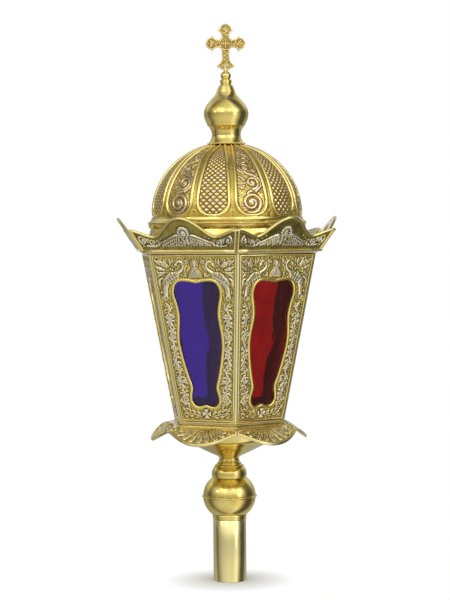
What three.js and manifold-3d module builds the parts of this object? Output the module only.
// A processional lantern for the top of a pole: a six-sided, tapered brass body with coloured glass,
// a flared crown, a ribbed dome with an onion finial and a cross, a scalloped skirt, a turned knob and
// a tube that the pole goes into. Millimetres, +Z up, the origin at the centre of the tube's mouth.
// Azimuth is measured from the front corner (-Y) towards +X. Corner j is at azimuth 60 j, and side k,
// between corners k - 1 and k, faces azimuth 60 k - 30.
import * as THREE from "three";
import { mergeVertices } from "three/addons/utils/BufferGeometryUtils.js";
import Module from "manifold-3d";

const wasm = await Module();
wasm.setup();

// The lantern body
const SIDES = 6;
const SIDE_NAMES = ["front_left", "front_right", "right", "back_right", "back_left", "left"];
const CORNER_NAMES = ["front", "front_right", "back_right", "back", "back_left", "front_left"];
const DOOR_SIDE = 3;
const HINGE_CORNER = 3;
const BODY_BOTTOM_Z = 183.3;
const BODY_TOP_Z = 378.3;
const BODY_BOTTOM_R = 67.8;
const BODY_TOP_R = 108.8;
const TOUCH_GAP = 0.3;
const DOOR_GAP = 0.5;
const SHEET = 1.2;

// The side panels and their windows
const PANEL_THICKNESS = 1.6;
const BORDER_WIDTH = 2.4;
const BORDER_RISE = 0.8;
const BEAD_WIDTH = 2.2;
const BEAD_RISE = 1.0;
const NOSE_WIDTH = 1.8;
const FLANGE_REACH = 9;
const FLANGE_THICKNESS = 1;
const WINDOW_BOTTOM_Z = 206.2;
const WINDOW_TOP_Z = 348.4;
const GLASS_THICKNESS = 2.5;
const GLASS_BOTTOM_HALF = 21;
const GLASS_TOP_HALF = 34;
const GLASS_MARGIN = 5;
const TAB_V = 90;
const TAB_LENGTH = 10;

// Rails, skirt and crown
const FLOOR_R = 66;
const FLOOR_TOP_Z = 184.9;
const RAIL_BOTTOM_Z = 185.2;
const RAIL_TOP_Z = 188.6;
const RAIL_INNER_R = 60.5;
const RAIL_PROUD = 1;
const PANEL_BOTTOM_Z = RAIL_TOP_Z + 0.8;
const PANEL_TOP_Z = BODY_TOP_Z - 0.7;
const SKIRT_ROOT_A = 53.5;
const SKIRT_BEND_A = 59.5;
const SKIRT_TIP_A = 90;
const SKIRT_CORNER_A = 74.2;
const SKIRT_TOP_Z = 183;
const SKIRT_DROP = 18.4;
const PETAL_THICKNESS = SHEET + 0.2;
const EDGE_GAP = 0.35;
const CREST_BOTTOM_Z = 380;
const CREST_DIP_Z = 398.3;
const CREST_PEAK_RISE = 20.5;
const CREST_CORNER_RISE = 7;
const CREST_DIP_SHARE = 0.6;
const CROWN_TURN = -1.6;
const CREST_BOTTOM_A = 99.5;
const CREST_THICKNESS = 1.44;

// The dome and what it stands on
const DRUM_BOTTOM_Z = 382.8;
const DOME_RING_Z = 406.9;
const DOME_BOTTOM_Z = 419.9;
const DOME_CENTRE_Z = 423.2;
const DOME_R = 84.6;
const DOME_RISE = 80.5;
const DOME_PANELS = 12;
const DOME_TURN = -2;
// Each panel of the dome is unrolled to GORE_HALF each side of its middle. Between two panels is a band that
// keeps its width, and a bead frames the panel with a round lower end
const GORE_HALF = 22;
const GORE_BAND_HALF = 5.6;
const GORE_FRAME_LOW = 15.6;
const GORE_BEAD_HALF = 1.1;
const GORE_BEAD_RISE = 1.45;
const GORE_BAND_RISE = 0.5;

// The pole tube, the knob and the tie rod that clamps them
const TUBE_R = 19;
const TUBE_BORE_R = 17.5;
const TUBE_TOP_Z = 71;
const PLUG_BOTTOM_Z = 60;
const PLUG_TOP_Z = 68;
const ROD_R = 4;
const ROD_HOLE_R = 4.4;
const ROD_TOP_Z = 195;
const BALL_CENTRE_Z = 97.9;
const BALL_R = 30.4;
const BALL_HALF_HEIGHT = 28;
const BALL_LOW_Z = 77.3;
const BALL_HIGH_Z = 118.8;
const SEAM_HALF = 1.3;

// The finial and the cross
const STUD_R = 3;
const STUD_HOLE_R = 3.4;
const CROSS_CENTRE_Z = 617.6;
const CROSS_THICKNESS = 3.2;
const CROSS_RING_R = 7.9;
const CROSS_LOWER_EXTRA = 8;
const STEM_R = 1.3;

// The candle and its holder
const CANDLE_R = 10.5;
const CANDLE_BOTTOM_Z = 197.6;
const CANDLE_TOP_Z = 300;
const WICK_TOP_Z = 308;

// The door's hinge and its turn button
const HINGE_OUT = 3.2;
const KNUCKLE_R = 1.9;
const PIN_R = 0.8;
const PIN_HOLE_R = 1.1;
const HINGE_LOW = 62;
const HINGE_HIGH = 138;
const KNUCKLE_LENGTH = 24;
const LEAF_REACH = 8;
const LEAF_THICKNESS = 1;
const BUTTON_U = -14;

const ROUND = 20;
const DRUM_ROUND = 30;
const SMALL_ROUND = 10;
const DEG = Math.PI / 180;

const brass = new THREE.MeshStandardMaterial({ color: 0xc9a53c, roughness: 0.18, metalness: 1 });
const reliefBrass = new THREE.MeshStandardMaterial({ color: 0xb89b52, roughness: 0.35, metalness: 1 });
const clear = { roughness: 0.08, metalness: 0, transparent: true, opacity: 0.7 };
const blueGlass = new THREE.MeshStandardMaterial({ color: 0x35209a, ...clear });
const redGlass = new THREE.MeshStandardMaterial({ color: 0x8c0a10, ...clear });
const steel = new THREE.MeshStandardMaterial({ color: 0x9a9a98, roughness: 0.4, metalness: 1 });
const wax = new THREE.MeshStandardMaterial({ color: 0xeee4c8, roughness: 0.6, metalness: 0 });

const lantern = new THREE.Group();

// Small helpers

function add(name, geometry, material) {
  const mesh = new THREE.Mesh(facingOut(geometry), material);
  mesh.name = name;
  lantern.add(mesh);
  return mesh;
}

function signedVolume(geometry) {
  const flat = geometry.index ? geometry.toNonIndexed() : geometry;
  const p = flat.attributes.position;
  const [a, b, c] = [new THREE.Vector3(), new THREE.Vector3(), new THREE.Vector3()];
  let volume = 0;
  for (let i = 0; i < p.count; i += 3) {
    a.fromBufferAttribute(p, i);
    b.fromBufferAttribute(p, i + 1);
    c.fromBufferAttribute(p, i + 2);
    volume += a.dot(b.cross(c)) / 6;
  }
  return volume;
}

// The same solid as an indexed geometry of positions alone, with its faces pointing out.
function facingOut(geometry) {
  const bare = new THREE.BufferGeometry();
  bare.setAttribute("position", geometry.getAttribute("position"));
  if (geometry.index) bare.setIndex(geometry.index);
  const merged = mergeVertices(bare, 1e-4);
  if (signedVolume(merged) < 0) {
    const index = merged.index.array;
    for (let i = 0; i < index.length; i += 3) [index[i + 1], index[i + 2]] = [index[i + 2], index[i + 1]];
  }
  merged.computeVertexNormals();
  return merged;
}

function toSolid(geometry) {
  const g = facingOut(geometry);
  return new wasm.Manifold(
    new wasm.Mesh({
      numProp: 3,
      vertProperties: new Float32Array(g.attributes.position.array),
      triVerts: new Uint32Array(g.index.array),
    }),
  );
}

function toGeometry(solid) {
  const mesh = solid.getMesh();
  const stride = mesh.numProp;
  const positions = new Float32Array(mesh.numVert * 3);
  for (let i = 0; i < mesh.numVert; i++) {
    positions.set(mesh.vertProperties.subarray(i * stride, i * stride + 3), i * 3);
  }
  const geometry = new THREE.BufferGeometry();
  geometry.setAttribute("position", new THREE.BufferAttribute(positions, 3));
  geometry.setIndex(new THREE.BufferAttribute(new Uint32Array(mesh.triVerts), 1));
  return geometry;
}

function joined(geometries) {
  return toGeometry(geometries.map(toSolid).reduce((all, next) => all.add(next)));
}

function cut(geometry, tools) {
  return toGeometry(tools.map(toSolid).reduce((left, tool) => left.subtract(tool), toSolid(geometry)));
}

// A turned solid: a profile of [radius, z] that closes on itself, or that starts and ends on the axis.
function turned(profile, segments = ROUND) {
  const points = profile.map(([r, z]) => new THREE.Vector2(r, z));
  if (profile[0][0] > 0) points.push(points[0].clone());
  return new THREE.LatheGeometry(points, segments).rotateX(Math.PI / 2);
}

function rod(radius, bottomZ, topZ, segments = SMALL_ROUND) {
  return turned([[0, bottomZ], [radius, bottomZ], [radius, topZ], [0, topZ]], segments);
}

// A six-sided ring of [corner radius, z], with its corners on the lantern's corners.
function sixSided(profile) {
  return turned(profile, SIDES);
}

function outward(azimuth) {
  return new THREE.Vector3(Math.sin(azimuth * DEG), -Math.cos(azimuth * DEG), 0);
}

function sideAzimuth(k) {
  return 60 * k - 30;
}

const TO_APOTHEM = Math.cos(Math.PI / SIDES);
const HALF_SIDE = Math.tan(Math.PI / SIDES);
const BODY_HEIGHT = BODY_TOP_Z - BODY_BOTTOM_Z;
const TAPER = Math.atan(((BODY_TOP_R - BODY_BOTTOM_R) * TO_APOTHEM) / BODY_HEIGHT);
const SLANT = Math.cos(TAPER);

function bodyR(z) {
  return BODY_BOTTOM_R + ((BODY_TOP_R - BODY_BOTTOM_R) * (z - BODY_BOTTOM_Z)) / BODY_HEIGHT;
}

// Half the body's width, at a height up the slanted side.
function halfWidth(v) {
  return (bodyR(BODY_BOTTOM_Z + v * SLANT) * TO_APOTHEM) * HALF_SIDE;
}

function upSide(z) {
  return (z - BODY_BOTTOM_Z) / SLANT;
}

// The frame of side k: x along the side, y up its slant, z out of it, from the middle of its foot.
function sideFrame(k) {
  const out = outward(sideAzimuth(k));
  const along = outward(sideAzimuth(k) + 90);
  const up = new THREE.Vector3(0, 0, Math.cos(TAPER)).addScaledVector(out, Math.sin(TAPER));
  const normal = new THREE.Vector3().crossVectors(along, up);
  const foot = out.clone().multiplyScalar(BODY_BOTTOM_R * TO_APOTHEM);
  foot.z = BODY_BOTTOM_Z;
  return new THREE.Matrix4().makeBasis(along, up, normal).setPosition(foot);
}

// A flat piece in a side's own frame, from depth w0 to w1 out of the side's plane.
function slab(shape, w0, w1) {
  return new THREE.ExtrudeGeometry(shape, { depth: w1 - w0, bevelEnabled: false }).translate(0, 0, w0);
}

function outline(points) {
  return new THREE.Shape(points.map(([x, y]) => new THREE.Vector2(x, y)));
}

function box(x0, x1, y0, y1, z0, z1) {
  const block = new THREE.BoxGeometry(x1 - x0, y1 - y0, z1 - z0);
  return block.translate((x0 + x1) / 2, (y0 + y1) / 2, (z0 + z1) / 2);
}

// A curved sheet of metal: top(s, t) and under(s, t) give its two faces, for s from -1 to 1 and t from 0 to 1.
function curvedSheet(top, under, across, out) {
  const positions = [];
  const index = [];
  const columns = across + 1;
  const layer = columns * (out + 1);
  for (const face of [top, under]) {
    for (let j = 0; j <= out; j++) {
      for (let i = 0; i <= across; i++) positions.push(...face((2 * i) / across - 1, j / out));
    }
  }
  const at = (side, i, j) => side * layer + j * columns + i;
  const quad = (a, b, c, d) => index.push(a, b, c, a, c, d);
  for (let j = 0; j < out; j++) {
    for (let i = 0; i < across; i++) {
      quad(at(0, i, j), at(0, i + 1, j), at(0, i + 1, j + 1), at(0, i, j + 1));
      quad(at(1, i, j), at(1, i, j + 1), at(1, i + 1, j + 1), at(1, i + 1, j));
    }
    quad(at(0, 0, j), at(0, 0, j + 1), at(1, 0, j + 1), at(1, 0, j));
    quad(at(0, across, j), at(1, across, j), at(1, across, j + 1), at(0, across, j + 1));
  }
  for (let i = 0; i < across; i++) {
    quad(at(0, i, 0), at(1, i, 0), at(1, i + 1, 0), at(0, i + 1, 0));
    quad(at(0, i, out), at(0, i + 1, out), at(1, i + 1, out), at(1, i, out));
  }
  const geometry = new THREE.BufferGeometry();
  geometry.setAttribute("position", new THREE.Float32BufferAttribute(positions, 3));
  geometry.setIndex(index);
  return geometry;
}

function smooth(x) {
  const t = Math.min(Math.max(x, 0), 1);
  return t * t * (3 - 2 * t);
}

// The pole tube, its plug and the tie rod

function ring(innerR, outerR, bottomZ, topZ, segments = ROUND) {
  return turned([[innerR, bottomZ], [outerR, bottomZ], [outerR, topZ], [innerR, topZ]], segments);
}

function makeTube() {
  add("socket_tube", ring(TUBE_BORE_R, TUBE_R, 0, TUBE_TOP_Z), brass);
  add("socket_plug", ring(ROD_HOLE_R, TUBE_BORE_R - TOUCH_GAP, PLUG_BOTTOM_Z, PLUG_TOP_Z), steel);
  const z = TUBE_TOP_Z + TOUCH_GAP;
  add("socket_collar", turned([
    [ROD_HOLE_R, z], [19.1, z], [19.6, z + 1.2], [19.3, z + 3], [19.7, z + 4.4], [19.1, z + 5.7],
    [ROD_HOLE_R, z + 5.7],
  ]), brass);
  add("tie_rod", rod(ROD_R, PLUG_BOTTOM_Z + 1, ROD_TOP_Z), steel);
}

// The knob: two spun half shells with a ring at their seam, and a turned neck

function ballProfile(fromZ, toZ, radius, halfHeight, steps) {
  const points = [];
  for (let i = 0; i <= steps; i++) {
    const z = fromZ + ((toZ - fromZ) * i) / steps;
    const share = (z - BALL_CENTRE_Z) / halfHeight;
    points.push([radius * Math.sqrt(1 - share * share), z]);
  }
  return points;
}

function makeKnob() {
  const [low, high] = [BALL_LOW_Z, BALL_HIGH_Z];
  const [seamLow, seamHigh] = [BALL_CENTRE_Z - SEAM_HALF, BALL_CENTRE_Z + SEAM_HALF];
  const ringHalf = SEAM_HALF - TOUCH_GAP;
  const [innerR, innerHalf] = [BALL_R - SHEET, BALL_HALF_HEIGHT - SHEET];
  add("knob_lower_shell", turned([
    [ROD_HOLE_R, low],
    ...ballProfile(low, seamLow, BALL_R, BALL_HALF_HEIGHT, 6),
    ...ballProfile(seamLow, low + SHEET, innerR, innerHalf, 3),
    [ROD_HOLE_R, low + SHEET],
  ]), brass);
  add("knob_seam_ring", turned([
    [27, BALL_CENTRE_Z - ringHalf], [31, BALL_CENTRE_Z - ringHalf], [31.8, BALL_CENTRE_Z],
    [31, BALL_CENTRE_Z + ringHalf], [27, BALL_CENTRE_Z + ringHalf],
  ]), brass);
  add("knob_upper_shell", turned([
    [ROD_HOLE_R, high - SHEET],
    ...ballProfile(high - SHEET, seamHigh, innerR, innerHalf, 3),
    ...ballProfile(seamHigh, high, BALL_R, BALL_HALF_HEIGHT, 6),
    [ROD_HOLE_R, high],
  ]), brass);
  add("neck_turning", turned([
    [ROD_HOLE_R, 119.1], [19.2, 119.1], [20, 121.3], [20.1, 124.6], [19.4, 127.8], [18, 130.6], [16.8, 132.2],
    [16.6, 133.2], [14.7, 134.3], [13.9, 136.2], [12.4, 137.8], [11.5, 139.6], [11.4, 141.7],
    [ROD_HOLE_R, 141.7],
  ]), brass);
}

// The spun bowl under the floor, and the floor

function makeUnderside() {
  add("bell_bowl", turned([
    [ROD_HOLE_R, 142], [11.4, 142], [12.7, 143.6], [19.9, 147.2], [29.4, 151.8], [41, 157.6], [50.5, 163.4],
    [52.5, 167], [52.5, 182.9], [51.1, 182.9], [51.1, 168], [40, 159.3], [28.6, 153.4], [17.5, 148.6],
    [ROD_HOLE_R, 146.5],
  ]), brass);
  const plate = sixSided([
    [0, BODY_BOTTOM_Z], [FLOOR_R, BODY_BOTTOM_Z], [FLOOR_R, FLOOR_TOP_Z], [0, FLOOR_TOP_Z],
  ]);
  add("floor_plate", cut(plate, [rod(ROD_HOLE_R, BODY_BOTTOM_Z - 1, FLOOR_TOP_Z + 1)]), brass);
  const proud = RAIL_PROUD / SLANT / TO_APOTHEM;
  const [outLow, outHigh] = [bodyR(RAIL_BOTTOM_Z) + proud, bodyR(RAIL_TOP_Z) + proud];
  add("base_rail", sixSided([
    [RAIL_INNER_R, RAIL_BOTTOM_Z], [outLow, RAIL_BOTTOM_Z], [outHigh, RAIL_TOP_Z], [RAIL_INNER_R, RAIL_TOP_Z],
  ]), brass);
}

// One petal of the skirt: flat under the floor, then curving out and down to a lobed edge

function petalHeight(a, s) {
  const share = Math.max(a - SKIRT_BEND_A, 0) / (SKIRT_TIP_A - SKIRT_BEND_A);
  return SKIRT_TOP_Z - SKIRT_DROP * Math.pow(share, 1.8) - 1.6 * share * s * s;
}

function petalEdge(s) {
  return SKIRT_CORNER_A + (SKIRT_TIP_A - SKIRT_CORNER_A) * Math.pow(Math.cos((Math.PI * s) / 2), 1.15);
}

function petalPoint(k, s, t, below) {
  const a = SKIRT_ROOT_A + (petalEdge(s) - SKIRT_ROOT_A) * t;
  const shifted = a - below * t * 0.5;
  const across = s * (shifted * HALF_SIDE - EDGE_GAP);
  const p = outward(sideAzimuth(k)).multiplyScalar(shifted);
  p.addScaledVector(outward(sideAzimuth(k) + 90), across);
  return [p.x, p.y, petalHeight(a, s) - below];
}

function makeSkirt() {
  for (let k = 0; k < SIDES; k++) {
    const top = (s, t) => petalPoint(k, s, t, 0);
    const under = (s, t) => petalPoint(k, s, t, PETAL_THICKNESS);
    add("skirt_petal_" + SIDE_NAMES[k], curvedSheet(top, under, 12, 4), reliefBrass);
  }
}

// Corner posts: a narrow nose at the corner, with a flange behind each neighbouring panel

function makePosts() {
  const behind = (PANEL_THICKNESS + TOUCH_GAP) / SLANT;
  const inner = behind + FLANGE_THICKNESS / SLANT;
  const along = [-Math.cos(60 * DEG), Math.sin(60 * DEG)];
  const inward = [-Math.sin(60 * DEG), -Math.cos(60 * DEG)];
  const point = (reach, depth) => [0, 1].map((i) => along[i] * reach + inward[i] * depth);
  const half = [
    point(NOSE_WIDTH, 0), point(NOSE_WIDTH, behind), point(FLANGE_REACH, behind), point(FLANGE_REACH, inner),
  ];
  const section = [[0, 0], ...half, [-inner / Math.sin(60 * DEG), 0]];
  for (let i = half.length - 1; i >= 0; i--) section.push([half[i][0], -half[i][1]]);
  const [low, high] = [RAIL_TOP_Z + TOUCH_GAP, BODY_TOP_Z - TOUCH_GAP];
  for (let j = 0; j < SIDES; j++) {
    const prism = new THREE.ExtrudeGeometry(outline(section), { depth: high - low, bevelEnabled: false });
    const lean = new THREE.Matrix4().set(
      1, 0, (BODY_TOP_R - BODY_BOTTOM_R) / BODY_HEIGHT, bodyR(low),
      0, 1, 0, 0,
      0, 0, 1, low,
      0, 0, 0, 1,
    );
    const turn = new THREE.Matrix4().makeBasis(outward(60 * j), outward(60 * j + 90), new THREE.Vector3(0, 0, 1));
    add("corner_post_" + CORNER_NAMES[j], prism.applyMatrix4(lean).applyMatrix4(turn), brass);
  }
}

// The window's outline, as half widths against height, mirrored, and grown for the bead round it

function windowOutline(grow) {
  const bottom = upSide(WINDOW_BOTTOM_Z);
  const height = upSide(WINDOW_TOP_Z) - bottom;
  const right = [
    [0, 0.014], [9, 0], [13.8, 0.015], [16.5, 0.05], [16.3, 0.095], [14.8, 0.15],
    [18, 0.24], [22.3, 0.36], [25.7, 0.51], [24.9, 0.63], [23.5, 0.73], [25.1, 0.81],
    [27.8, 0.885], [27.3, 0.945], [23.5, 0.988], [14, 1.0], [0, 0.986],
  ].map(([u, share]) => new THREE.Vector2(u, bottom + share * height));
  const left = right.slice(1, -1).reverse().map((p) => new THREE.Vector2(-p.x, p.y));
  const ring = [...right, ...left];
  return ring.map((p, i) => {
    const before = ring[(i + ring.length - 1) % ring.length];
    const after = ring[(i + 1) % ring.length];
    const along = after.clone().sub(before).normalize();
    return [p.x + along.y * grow, p.y - along.x * grow];
  });
}

function makePanel(k) {
  const [low, high] = [upSide(PANEL_BOTTOM_Z), upSide(PANEL_TOP_Z)];
  const edge = (v, inset) => halfWidth(v) - NOSE_WIDTH - DOOR_GAP - inset;
  const trapezoid = (inset) => [
    [-edge(low + inset, inset), low + inset], [edge(low + inset, inset), low + inset],
    [edge(high - inset, inset), high - inset], [-edge(high - inset, inset), high - inset],
  ];
  const withHole = (outer, hole) => {
    const shape = outline(outer);
    shape.holes.push(new THREE.Path(hole.map(([x, y]) => new THREE.Vector2(x, y))));
    return shape;
  };
  const plate = slab(withHole(trapezoid(0), windowOutline(0)), -PANEL_THICKNESS, 0);
  const border = slab(withHole(trapezoid(0), trapezoid(BORDER_WIDTH)), -0.2, BORDER_RISE);
  const bead = slab(withHole(windowOutline(BEAD_WIDTH), windowOutline(0)), -0.2, BEAD_RISE);
  const glassBack = -PANEL_THICKNESS - 2 * TOUCH_GAP - GLASS_THICKNESS;
  const tabs = [];
  for (const side of [-1, 1]) {
    const near = glassHalf(TAB_V + TAB_LENGTH) + 0.5;
    const tab = outline([
      [near, -PANEL_THICKNESS + 0.2], [near, glassBack], [near - 4, glassBack], [near - 4, glassBack - 1],
      [near + 1.2, glassBack - 1], [near + 1.2, -PANEL_THICKNESS + 0.2],
    ]);
    const bent = new THREE.ExtrudeGeometry(tab, { depth: TAB_LENGTH, bevelEnabled: false }).rotateX(Math.PI / 2);
    tabs.push(bent.scale(side, -1, 1).translate(0, TAB_V, 0));
  }
  return joined([plate, border, bead, ...tabs]).applyMatrix4(sideFrame(k));
}

function glassHalf(v) {
  const [low, high] = [upSide(WINDOW_BOTTOM_Z) - GLASS_MARGIN, upSide(WINDOW_TOP_Z) + GLASS_MARGIN];
  return GLASS_BOTTOM_HALF + ((GLASS_TOP_HALF - GLASS_BOTTOM_HALF) * (v - low)) / (high - low);
}

function makeGlass(k) {
  const [low, high] = [upSide(WINDOW_BOTTOM_Z) - GLASS_MARGIN, upSide(WINDOW_TOP_Z) + GLASS_MARGIN];
  const shape = outline([
    [-GLASS_BOTTOM_HALF, low], [GLASS_BOTTOM_HALF, low], [GLASS_TOP_HALF, high], [-GLASS_TOP_HALF, high],
  ]);
  const front = -PANEL_THICKNESS - TOUCH_GAP;
  return slab(shape, front - GLASS_THICKNESS, front).applyMatrix4(sideFrame(k));
}

function makeSides() {
  for (let k = 0; k < SIDES; k++) {
    const isDoor = k === DOOR_SIDE;
    add(isDoor ? "door_panel" : "side_panel_" + SIDE_NAMES[k], makePanel(k), reliefBrass);
    const colour = k % 2 ? redGlass : blueGlass;
    add(isDoor ? "door_glass" : "glass_" + SIDE_NAMES[k], makeGlass(k), colour);
  }
}

// The door's hinge: knuckles on a wire pin along the slanted corner, with a leaf on each side

function cornerFrame(k) {
  const edge = outward(60 * HINGE_CORNER).multiplyScalar(BODY_TOP_R - BODY_BOTTOM_R);
  edge.z = BODY_HEIGHT;
  edge.normalize();
  const normal = new THREE.Vector3().setFromMatrixColumn(sideFrame(k), 2);
  const inwards = new THREE.Vector3().crossVectors(edge, normal);
  const middle = outward(sideAzimuth(k));
  if (inwards.dot(middle.sub(outward(60 * HINGE_CORNER))) < 0) inwards.negate();
  const foot = outward(60 * HINGE_CORNER).multiplyScalar(BODY_BOTTOM_R);
  foot.z = BODY_BOTTOM_Z;
  return { edge, normal, inwards, foot };
}

function hingeRod(radius, from, to) {
  const { edge, foot } = cornerFrame(DOOR_SIDE);
  const lean = outward(60 * HINGE_CORNER);
  const across = lean.addScaledVector(edge, -lean.dot(edge)).normalize();
  const basis = new THREE.Matrix4().makeBasis(across, new THREE.Vector3().crossVectors(edge, across), edge);
  basis.setPosition(foot.clone().addScaledVector(across, HINGE_OUT));
  return rod(radius, from, to).applyMatrix4(basis);
}

function leafPiece(k, u0, u1, v0, v1) {
  const { edge, normal, inwards, foot } = cornerFrame(k);
  const piece = box(u0, u1, v0, v1, BORDER_RISE + TOUCH_GAP, BORDER_RISE + TOUCH_GAP + LEAF_THICKNESS);
  return piece.applyMatrix4(new THREE.Matrix4().makeBasis(inwards, edge, normal).setPosition(foot));
}

function makeHinge() {
  const [low, high] = [HINGE_LOW, HINGE_HIGH];
  const [lowEnd, highStart] = [low + KNUCKLE_LENGTH, high - KNUCKLE_LENGTH];
  const bore = hingeRod(PIN_HOLE_R, low - 5, high + 5);
  const frameSide = joined([
    leafPiece(HINGE_CORNER + 1, 2.2, LEAF_REACH, low, high),
    leafPiece(HINGE_CORNER + 1, -0.4, 2.4, low, lowEnd),
    leafPiece(HINGE_CORNER + 1, -0.4, 2.4, highStart, high),
    hingeRod(KNUCKLE_R, low, lowEnd),
    hingeRod(KNUCKLE_R, highStart, high),
  ]);
  add("hinge_frame_leaf", cut(frameSide, [bore]), brass);
  const doorSide = joined([
    leafPiece(DOOR_SIDE, 2.2, LEAF_REACH, low, high),
    leafPiece(DOOR_SIDE, -0.4, 2.4, lowEnd + DOOR_GAP, highStart - DOOR_GAP),
    hingeRod(KNUCKLE_R, lowEnd + DOOR_GAP, highStart - DOOR_GAP),
  ]);
  add("hinge_door_leaf", cut(doorSide, [bore]), brass);
  add("hinge_pin", hingeRod(PIN_R, low - 1.5, high + 1.5), steel);
}

// The turn button on the base rail, drawn turned clear of the door

function makeTurnButton() {
  const v = upSide((RAIL_BOTTOM_Z + RAIL_TOP_Z) / 2);
  const face = RAIL_PROUD + TOUCH_GAP;
  const buttonShape = outline([
    [-2.6, -1.6], [-1.2, -2.2], [3, -2.2], [13, -1.4], [14, 0], [13, 1.4], [3, 2.2], [-1.2, 2.2], [-2.6, 1.6],
  ]);
  const top = face + SHEET;
  const button = slab(buttonShape, face, top);
  const place = (geometry) => geometry.translate(BUTTON_U, v, 0).applyMatrix4(sideFrame(DOOR_SIDE));
  add("turn_button", place(cut(button, [rod(1.5, face - 1, face + 3)])), brass);
  const head = [[0, face], [1.2, face], [1.2, top + 0.3], [2.1, top + 0.3], [1.7, top + 1.3], [0, top + 1.6]];
  add("turn_button_rivet", place(turned(head, SMALL_ROUND)), brass);
}

// The crown: a six-sided rail with six flared crests on it

function crestFlare(z) {
  const rise = z - CREST_BOTTOM_Z;
  return CREST_BOTTOM_A + 0.62 * rise + 0.0015 * rise * rise;
}

function crestTop(s) {
  const arch = Math.abs(s) < CREST_DIP_SHARE ? 0.5 + 0.5 * Math.cos((Math.PI * s) / CREST_DIP_SHARE) : 0;
  const wing = smooth((Math.abs(s) - CREST_DIP_SHARE) / (1 - CREST_DIP_SHARE));
  return CREST_DIP_Z + CREST_PEAK_RISE * Math.pow(arch, 0.85) + CREST_CORNER_RISE * wing;
}

function crestPoint(k, s, t, inset) {
  const z = CREST_BOTTOM_Z + (crestTop(s) - CREST_BOTTOM_Z) * t;
  const a = crestFlare(z) - inset;
  const facing = sideAzimuth(k) + CROWN_TURN;
  const p = outward(facing).multiplyScalar(a);
  p.addScaledVector(outward(facing + 90), s * (a * HALF_SIDE - EDGE_GAP));
  return [p.x, p.y, z];
}

function makeCrown() {
  const rail = sixSided([[101, BODY_TOP_Z], [111.4, BODY_TOP_Z], [112.4, 379.2], [112.4, 382.5], [101, 382.5]]);
  add("crown_rail", rail.rotateZ(CROWN_TURN * DEG), brass);
  for (let k = 0; k < SIDES; k++) {
    const front = (s, t) => crestPoint(k, s, t, 0);
    const back = (s, t) => crestPoint(k, s, t, CREST_THICKNESS);
    add("crown_crest_" + SIDE_NAMES[k], curvedSheet(front, back, 18, 2), reliefBrass);
  }
}

// The drum, ring and ribbed dome

// How far up the unrolled panel a latitude is, with shapes kept true
function goreHeight(latitude) {
  return GORE_HALF / (Math.PI / DOME_PANELS) * Math.log(Math.tan(Math.PI / 4 + latitude * DEG / 2));
}

// How far the frame is from the middle of the unrolled panel at a latitude
function frameHalf(latitude) {
  const narrowing = goreHeight(latitude) >= GORE_FRAME_LOW ? Math.cos(latitude * DEG) : 1;
  return Math.max(GORE_HALF - GORE_BAND_HALF / narrowing, 0);
}

// How far from the panel's middle a line is that runs beside the frame
function frameAcross(latitude, beside) {
  const radius = frameHalf(latitude) + beside;
  const below = Math.max(GORE_FRAME_LOW - goreHeight(latitude), 0);
  return Math.sqrt(Math.max(radius ** 2 - below ** 2, 0));
}

// How far the frame's bead, and the band between two frames, stand out from the dome
function frameRise(latitude, x) {
  const below = Math.max(GORE_FRAME_LOW - goreHeight(latitude), 0);
  const share = (Math.hypot(x, below) - frameHalf(latitude)) / GORE_BEAD_HALF;
  if (share <= -1) return 0;
  if (share >= 1) return GORE_BAND_RISE;
  return GORE_BEAD_RISE - Math.abs(share) * (GORE_BEAD_RISE - (share > 0 ? GORE_BAND_RISE : 0));
}

// The places across a panel that its mesh has at a latitude, from one boundary to just before the next
function goreColumns(latitude) {
  const half = [];
  for (const [beside, least] of [[-GORE_BEAD_HALF, 2], [0, 4], [GORE_BEAD_HALF, 6.2]]) {
    half.push(Math.max(frameAcross(latitude, beside), least));
  }
  return [-GORE_HALF, -half[2], -half[1], -half[0], 0, ...half];
}

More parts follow.
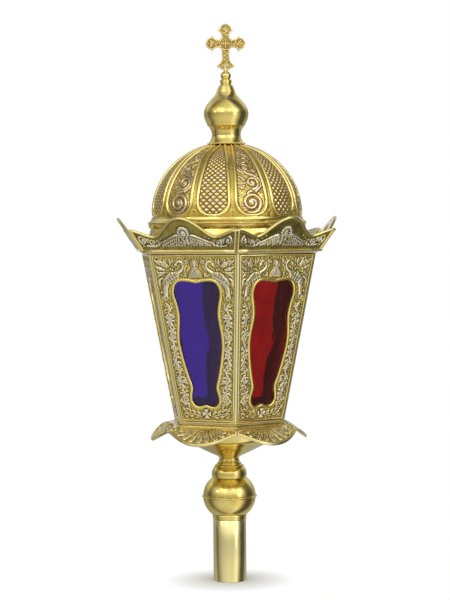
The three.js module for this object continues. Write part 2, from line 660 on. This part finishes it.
function makeDome() {
  add("roof_drum", turned([
    [87.4, DRUM_BOTTOM_Z], [96, DRUM_BOTTOM_Z], [96, DRUM_BOTTOM_Z + 1.2], [90.2, DRUM_BOTTOM_Z + 1.5],
    [88.7, 390], [89.8, 406.6], [88.4, 406.6], [87.4, 394],
  ], DRUM_ROUND), brass);
  add("dome_ring", turned([
    [84, DOME_RING_Z], [89.9, DOME_RING_Z], [90.6, 411.8], [91.2, 412.7], [91, 413.7], [88.3, 415.6],
    [86.7, 418], [86.4, 419.6], [84, 419.6],
  ], DRUM_ROUND), brass);
  const lowLatitude = Math.asin((DOME_BOTTOM_Z - DOME_CENTRE_Z) / DOME_RISE) / DEG;
  const outer = [lowLatitude, -1.5, -0.55, 1, 3.5, 7, 11, 22, 33, 44, 54, 63, 71, 78, 84.6];
  const inner = [84.4, 60, 30, lowLatitude];
  const rows = [];
  for (const latitude of outer) rows.push({ latitude, wall: 0 });
  for (const latitude of inner) rows.push({ latitude, wall: SHEET });
  const step = 360 / DOME_PANELS;
  const positions = [];
  for (const { latitude, wall } of rows) {
    const shrink = 0.35 + 0.65 * Math.cos(latitude * DEG);
    for (let panel = 0; panel < DOME_PANELS; panel++) {
      for (const x of goreColumns(latitude)) {
        const azimuth = (panel + 0.5 + x / GORE_HALF / 2) * step + DOME_TURN;
        const rise = wall ? -wall : frameRise(latitude, x) * shrink;
        const r = (DOME_R + rise) * Math.cos(latitude * DEG);
        const foot = latitude === lowLatitude;
        const z = foot ? DOME_BOTTOM_Z : DOME_CENTRE_Z + (DOME_RISE + rise) * Math.sin(latitude * DEG);
        const p = outward(azimuth).multiplyScalar(r);
        positions.push(p.x, p.y, z);
      }
    }
  }
  const index = [];
  const count = DOME_PANELS * goreColumns(0).length;
  for (let row = 0; row < rows.length; row++) {
    const next = (row + 1) % rows.length;
    for (let i = 0; i < count; i++) {
      const right = (i + 1) % count;
      index.push(row * count + i, row * count + right, next * count + right);
      index.push(row * count + i, next * count + right, next * count + i);
    }
  }
  const geometry = new THREE.BufferGeometry();
  geometry.setAttribute("position", new THREE.Float32BufferAttribute(positions, 3));
  geometry.setIndex(index);
  add("dome_shell", geometry, reliefBrass);
}

// The finial: a collar, a two-part onion, a turned tip with its stud, and the cross

function makeFinial() {
  add("finial_collar", turned([
    [ROD_HOLE_R, 504.6], [9, 504.5], [15, 503.9], [20.4, 502.6], [20.9, 503.4], [20.2, 504.8], [18.3, 507.4],
    [16.9, 510.6], [16.5, 514], [ROD_HOLE_R, 514],
  ]), brass);
  add("onion_cup", turned([
    [ROD_HOLE_R, 514.3], [16.6, 514.3], [17, 517.4], [18.5, 520.5], [21.1, 523.7], [19.7, 523.7], [17.1, 520.7],
    [15.4, 515.6], [ROD_HOLE_R, 515.6],
  ]), brass);
  add("onion_shell", turned([
    [21.5, 524], [22.1, 525.9], [24.3, 530.8], [25.5, 535.9], [25.3, 540.8], [22.8, 546.7], [18.1, 552.7],
    [12.6, 558.7], [10.2, 563.6], [8.6, 568.6], [STUD_HOLE_R, 568.6], [STUD_HOLE_R, 566.5], [8.8, 563.2],
    [16.8, 552.2], [24, 540], [23, 530.6], [20.3, 524],
  ]), brass);
  const tip = turned([
    [0, 494], [STUD_R, 494], [STUD_R, 568.9], [7.8, 568.9], [8, 569.8], [6.3, 570.8], [6, 572], [6.8, 573],
    [6, 574.1], [6.8, 575.2], [5.9, 576.3], [4.6, 577], [5.5, 578.8], [5.9, 580.8], [5.4, 583.2], [3.8, 585.3],
    [2.2, 586.1], [0, 586.1],
  ], 16);
  add("finial_tip", cut(tip, [rod(STEM_R + TOUCH_GAP, 579, 590)]), brass);
  const nut = turned([[0, 496], [8, 496], [8, 500.8], [0, 500.8]], SIDES);
  add("finial_nut", cut(nut, [rod(STUD_HOLE_R, 490, 505)]), steel);
}

// One arm of the cross, from the centre outwards: [distance, half width], to a pronged and rounded tip

function crossArm(extra) {
  const right = [
    [0, 4.2], [8, 4.2], [10.5 + extra, 4.4], [12.6 + extra, 5.3], [15.6 + extra, 8.6], [16.4 + extra, 6.6],
    [18.6 + extra, 6.1], [20.7 + extra, 4.5], [22.1 + extra, 2],
  ];
  const points = right.map(([d, w]) => [w, d]);
  points.push([0, 22.6 + extra]);
  for (const [d, w] of [...right].reverse()) points.push([-w, d]);
  return slab(outline(points), -CROSS_THICKNESS / 2, CROSS_THICKNESS / 2);
}

function makeCross() {
  const extra = (turn) => (turn === 180 ? CROSS_LOWER_EXTRA : 0);
  const parts = [0, 90, 180, 270].map((turn) => crossArm(extra(turn)).rotateZ(turn * DEG));
  const half = CROSS_THICKNESS / 2 + 0.4;
  parts.push(turned([[0, -half], [CROSS_RING_R, -half], [CROSS_RING_R, half], [0, half]], 16));
  const standing = joined(parts).rotateX(Math.PI / 2).translate(0, 0, CROSS_CENTRE_Z);
  const stem = rod(STEM_R, 579.5, CROSS_CENTRE_Z - 20);
  add("cross", joined([standing, stem]), brass);
}

// The candle in its cup and drip pan, on the end of the tie rod

function makeCandle() {
  const nut = turned([[0, 185.2], [8.5, 185.2], [8.5, 189.2], [0, 189.2]], SIDES);
  add("rod_nut", cut(nut, [rod(ROD_HOLE_R, 180, 195)]), steel);
  add("drip_pan", turned([
    [ROD_HOLE_R, 189.5], [20, 189.5], [25, 192.2], [24.2, 193], [19.6, 190.6], [ROD_HOLE_R, 190.6],
  ]), brass);
  const [inner, outer] = [CANDLE_R + TOUCH_GAP, CANDLE_R + TOUCH_GAP + SHEET];
  add("candle_cup", turned([
    [ROD_HOLE_R, 190.9], [outer, 190.9], [outer, 212], [outer + 1.4, 213.4], [inner + 1.2, 214], [inner, 212.4],
    [inner, 197.3], [0, 197.3], [0, 195.6], [ROD_HOLE_R, 195.6],
  ]), brass);
  add("candle", turned([
    [0, CANDLE_BOTTOM_Z], [CANDLE_R, CANDLE_BOTTOM_Z], [CANDLE_R, CANDLE_TOP_Z - 1.5],
    [CANDLE_R - 1.5, CANDLE_TOP_Z],
    [0.8, CANDLE_TOP_Z - 1], [0.8, WICK_TOP_Z], [0, WICK_TOP_Z],
  ], 16), wax);
}

makeTube();
makeKnob();
makeUnderside();
makeSkirt();
makePosts();
makeSides();
makeHinge();
makeTurnButton();
makeCrown();
makeDome();
makeFinial();
makeCross();
makeCandle();

export default lantern;
